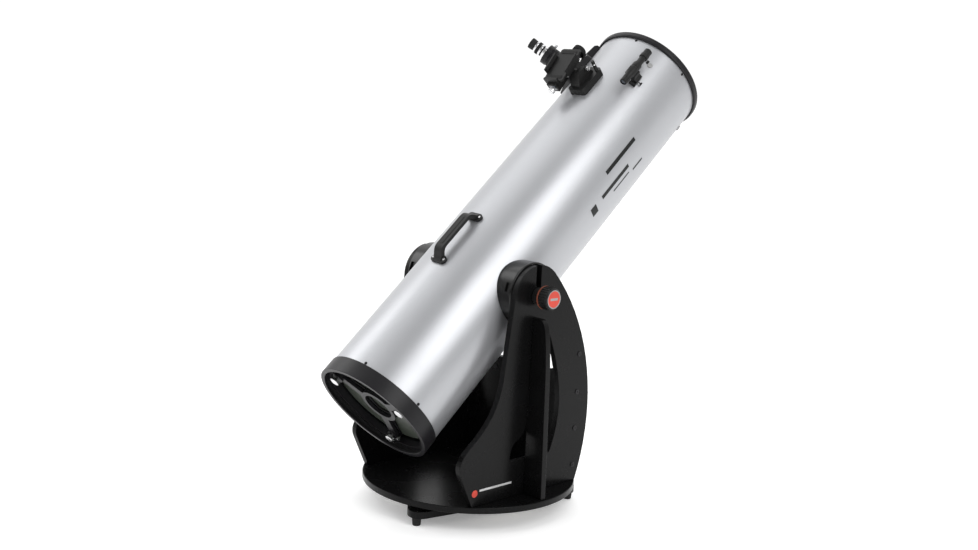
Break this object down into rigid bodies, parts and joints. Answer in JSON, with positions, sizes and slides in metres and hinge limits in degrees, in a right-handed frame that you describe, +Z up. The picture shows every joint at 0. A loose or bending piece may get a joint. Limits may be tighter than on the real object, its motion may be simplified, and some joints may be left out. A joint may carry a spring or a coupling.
{
  "type": "dobsonian telescope",
  "caption": "Large reflecting telescope with an open-fronted silver tube tilting between two side panels on a turning base, with focuser, finder and telephone dock.",
  "frame": {"origin": "middle of the footprint box, on the ground", "axes": "+Z up; +X along the tilt axle towards the right-hand side panel; +Y the way the open end of the tube leans"},
  "size_m": [0.632, 1.3312, 1.4036],
  "materials": {
    "laminate": "semi-gloss black laminate on particle board",
    "silver_paint": "satin silver paint on rolled steel",
    "black_steel": "satin black paint on steel and iron castings",
    "black_metal": "satin black paint or anodising",
    "black_plastic": "satin moulded black plastic",
    "gloss_black": "glossy black moulded plastic",
    "bright_metal": "bright turned metal",
    "mirror_glass": "ground glass back, coated front",
    "eyepiece_trim": "black ribbed rubber with bright bands",
    "white_pad": "slippery white plastic",
    "rubber": "matt moulded rubber"
  },
  "bodies": {
    "base": {"ground_board": "laminate", "azimuth_pivot_bolt": "bright_metal", "azimuth_lock_nut": "bright_metal", "foot_1": "rubber", "foot_2": "rubber", "foot_3": "rubber", "azimuth_pad_1": "white_pad", "azimuth_pad_2": "white_pad", "azimuth_pad_3": "white_pad"},
    "rocker": {"azimuth_disc": "laminate", "azimuth_glide_plate": "white_pad", "front_board": "laminate", "side_panel_right": "laminate", "side_panel_left": "laminate", "side_fin_right": "laminate", "side_fin_left": "laminate", "slot_liner_right": "black_plastic", "slot_liner_left": "black_plastic"},
    "tube": {"tube_shell": "silver_paint", "rear_ring": "black_steel", "front_ring": "black_metal", "mirror_cell": "black_steel", "mirror_plate": "black_steel", "primary_mirror": "mirror_glass", "spider_hub": "black_metal", "spider_vane_1": "black_metal", "spider_vane_2": "black_metal", "spider_vane_3": "black_metal", "spider_vane_4": "black_metal", "secondary_mirror": "mirror_glass", "secondary_holder": "black_metal", "trunnion_right": "gloss_black", "trunnion_left": "gloss_black", "tilt_axle_right": "bright_metal", "tilt_axle_left": "bright_metal", "tension_washer_right": "black_plastic", "tension_washer_left": "black_plastic", "carry_handle": "black_plastic", "finder_foot": "black_plastic", "finder_bracket": "black_plastic", "finder_body": "black_plastic", "focuser_base": "black_metal", "focuser_housing": "black_metal", "dock_base": "black_plastic"},
    "tension_knob_right": {"tension_knob_right": "black_plastic"},
    "tension_knob_left": {"tension_knob_left": "black_plastic"},
    "collimation_knob_1": {"collimation_knob_1": "bright_metal"},
    "collimation_knob_2": {"collimation_knob_2": "bright_metal"},
    "collimation_knob_3": {"collimation_knob_3": "bright_metal"},
    "drawtube": {"drawtube": "bright_metal", "drawtube_collar": "black_metal", "eyepiece": "eyepiece_trim"},
    "collar_screw": {"collar_screw": "bright_metal"},
    "focus_knobs": {"focus_axle": "bright_metal", "focus_knob_front": "black_plastic", "focus_knob_rear": "black_plastic"},
    "finder_dial": {"finder_dial": "black_plastic"},
    "dock_cradle": {"dock_cradle": "black_plastic"},
    "dock_jaw": {"dock_jaw": "black_plastic"},
    "dock_knob": {"dock_knob": "bright_metal"}
  },
  "joints": [
    {"name": "azimuth_turn", "type": "hinge", "parent": "base", "child": "rocker", "pos_m": [0, -0.16976, 0.06], "axis": [0, 0, 1], "continuous": true},
    {"name": "altitude_tilt", "type": "hinge", "parent": "rocker", "child": "tube", "pos_m": [0, -0.16376, 0.6463], "axis": [1, 0, 0], "range_deg": [-41.1, 48.8]},
    {"name": "tension_knob_right_turn", "type": "hinge", "parent": "tube", "child": "tension_knob_right", "pos_m": [0.27, -0.16376, 0.6463], "axis": [1, 0, 0], "range_deg": [0, 720]},
    {"name": "tension_knob_left_turn", "type": "hinge", "parent": "tube", "child": "tension_knob_left", "pos_m": [-0.27, -0.16376, 0.6463], "axis": [-1, 0, 0], "range_deg": [0, 720]},
    {"name": "collimation_knob_1_turn", "type": "hinge", "parent": "tube", "child": "collimation_knob_1", "pos_m": [-0.09927, -0.60335, 0.38951], "axis": [0, -0.7531, -0.6579], "range_deg": [-720, 720]},
    {"name": "collimation_knob_2_turn", "type": "hinge", "parent": "tube", "child": "collimation_knob_2", "pos_m": [0.13265, -0.56531, 0.34596], "axis": [0, -0.7531, -0.6579], "range_deg": [-720, 720]},
    {"name": "collimation_knob_3_turn", "type": "hinge", "parent": "tube", "child": "collimation_knob_3", "pos_m": [-0.03339, -0.45219, 0.21647], "axis": [0, -0.7531, -0.6579], "range_deg": [-720, 720]},
    {"name": "drawtube_slide", "type": "slide", "parent": "tube", "child": "drawtube", "axis": [-0.7071, -0.4652, 0.5325], "range_m": [-0.012, 0.03]},
    {"name": "focus_knob_turn", "type": "hinge", "parent": "tube", "child": "focus_knobs", "pos_m": [-0.13081, 0.30883, 1.29851], "axis": [0, 0.7531, 0.6579], "range_deg": [-300, 300]},
    {"name": "collar_screw_turn", "type": "hinge", "parent": "drawtube", "child": "collar_screw", "pos_m": [-0.20789, 0.32081, 1.34559], "axis": [0, 0.7531, 0.6579], "range_deg": [0, 540]},
    {"name": "finder_dial_turn", "type": "hinge", "parent": "tube", "child": "finder_dial", "pos_m": [0.14595, 0.3575, 1.30967], "axis": [0.7071, 0.4652, -0.5325], "range_deg": [0, 270]},
    {"name": "dock_tilt", "type": "hinge", "parent": "tube", "child": "dock_cradle", "pos_m": [-0.008, 0.20421, 1.26778], "axis": [1, 0, 0], "range_deg": [-6, 6]},
    {"name": "dock_knob_turn", "type": "hinge", "parent": "dock_cradle", "child": "dock_knob", "pos_m": [-0.053, 0.1509, 1.208], "axis": [0, -0.6274, -0.7787], "range_deg": [-250, 250]},
    {"name": "dock_jaw_slide", "type": "slide", "parent": "dock_cradle", "child": "dock_jaw", "axis": [-1, 0, 0], "range_m": [0, 0.014], "stiffness_N_per_m": 250}
  ],
  "couplings": [
    {"joint": "focus_knob_turn", "follows": "drawtube_slide", "rad_per_m": 125},
    {"joint": "dock_knob_turn", "follows": "dock_tilt", "ratio": 40}
  ]
}
